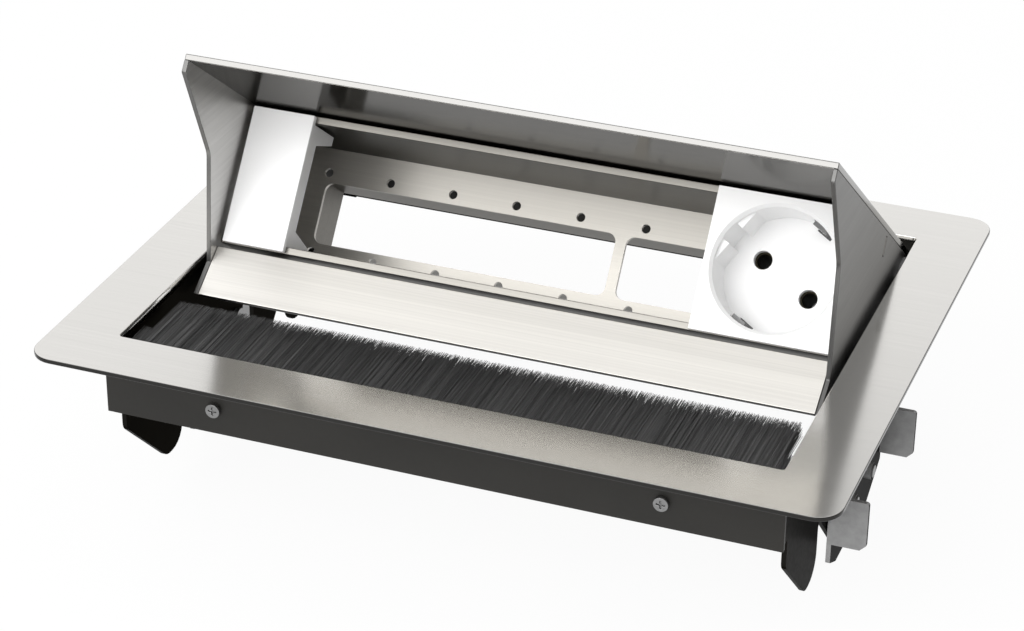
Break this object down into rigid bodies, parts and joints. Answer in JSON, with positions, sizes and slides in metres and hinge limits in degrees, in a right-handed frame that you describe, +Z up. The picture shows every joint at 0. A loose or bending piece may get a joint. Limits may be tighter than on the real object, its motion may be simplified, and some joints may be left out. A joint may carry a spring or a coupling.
{
  "type": "desk socket box",
  "caption": "Flush desk-top box whose hinged lid tilts open on a bay for socket modules, with a brush strip for cables and under-desk clamps.",
  "frame": {"origin": "middle of the bezel, on its underside, which is the plane of the desk surface that it rests on", "axes": "+X along the long side to the right, +Y from the brush edge to the hinge edge, +Z up out of the desk"},
  "size_m": [0.252, 0.196, 0.1384],
  "materials": {
    "brushed_steel": "satin",
    "end_steel": "satin",
    "dark_steel": "satin",
    "clamp_steel": "satin",
    "holder_aluminium": "satin",
    "rail_aluminium": "satin",
    "zinc": "satin",
    "contact_steel": "satin",
    "brass": "satin",
    "bristle": "matte",
    "rubber": "matte",
    "white_gloss": "gloss",
    "white_matte": "satin"
  },
  "bodies": {
    "frame": {"bezel_frame": "brushed_steel", "front_skirt": "dark_steel", "rear_skirt": "dark_steel", "side_plate_left": "dark_steel", "side_plate_right": "dark_steel", "brush_holder": "holder_aluminium", "brush_bristles": "bristle", "brush_screws": "zinc", "earth_screws": "zinc", "pivot_pins": "zinc", "friction_washers": "zinc", "pivot_clips": "zinc", "stop_pads": "rubber", "rest_buffers": "rubber"},
    "lid": {"lid_panel": "brushed_steel", "end_plate_left": "end_steel", "end_plate_right": "end_steel", "pivot_bushes": "white_matte", "apron_panel": "brushed_steel", "cassette_top_rail": "rail_aluminium", "cassette_bottom_rail": "rail_aluminium", "cassette_back_plate": "rail_aluminium", "wire_duct": "rail_aluminium", "blank_plate": "white_gloss", "socket_cover": "white_gloss", "socket_base": "white_matte", "contact_sleeves": "brass", "earth_strap": "contact_steel", "terminal_screws": "zinc"},
    "clamp_left": {"clamp_bracket_left": "clamp_steel", "clamp_screws_left": "zinc"},
    "clamp_right": {"clamp_bracket_right": "clamp_steel", "clamp_screws_right": "zinc"}
  },
  "joints": [
    {"name": "lid_hinge", "type": "hinge", "parent": "frame", "child": "lid", "pos_m": [0, 0.0664, -0.0085], "axis": [1, 0, 0], "range_deg": [0, 37]},
    {"name": "clamp_left_slide", "type": "slide", "parent": "frame", "child": "clamp_left", "axis": [0, 0, 1], "range_m": [-0.004, 0.016]},
    {"name": "clamp_right_slide", "type": "slide", "parent": "frame", "child": "clamp_right", "axis": [0, 0, 1], "range_m": [-0.004, 0.016]}
  ]
}
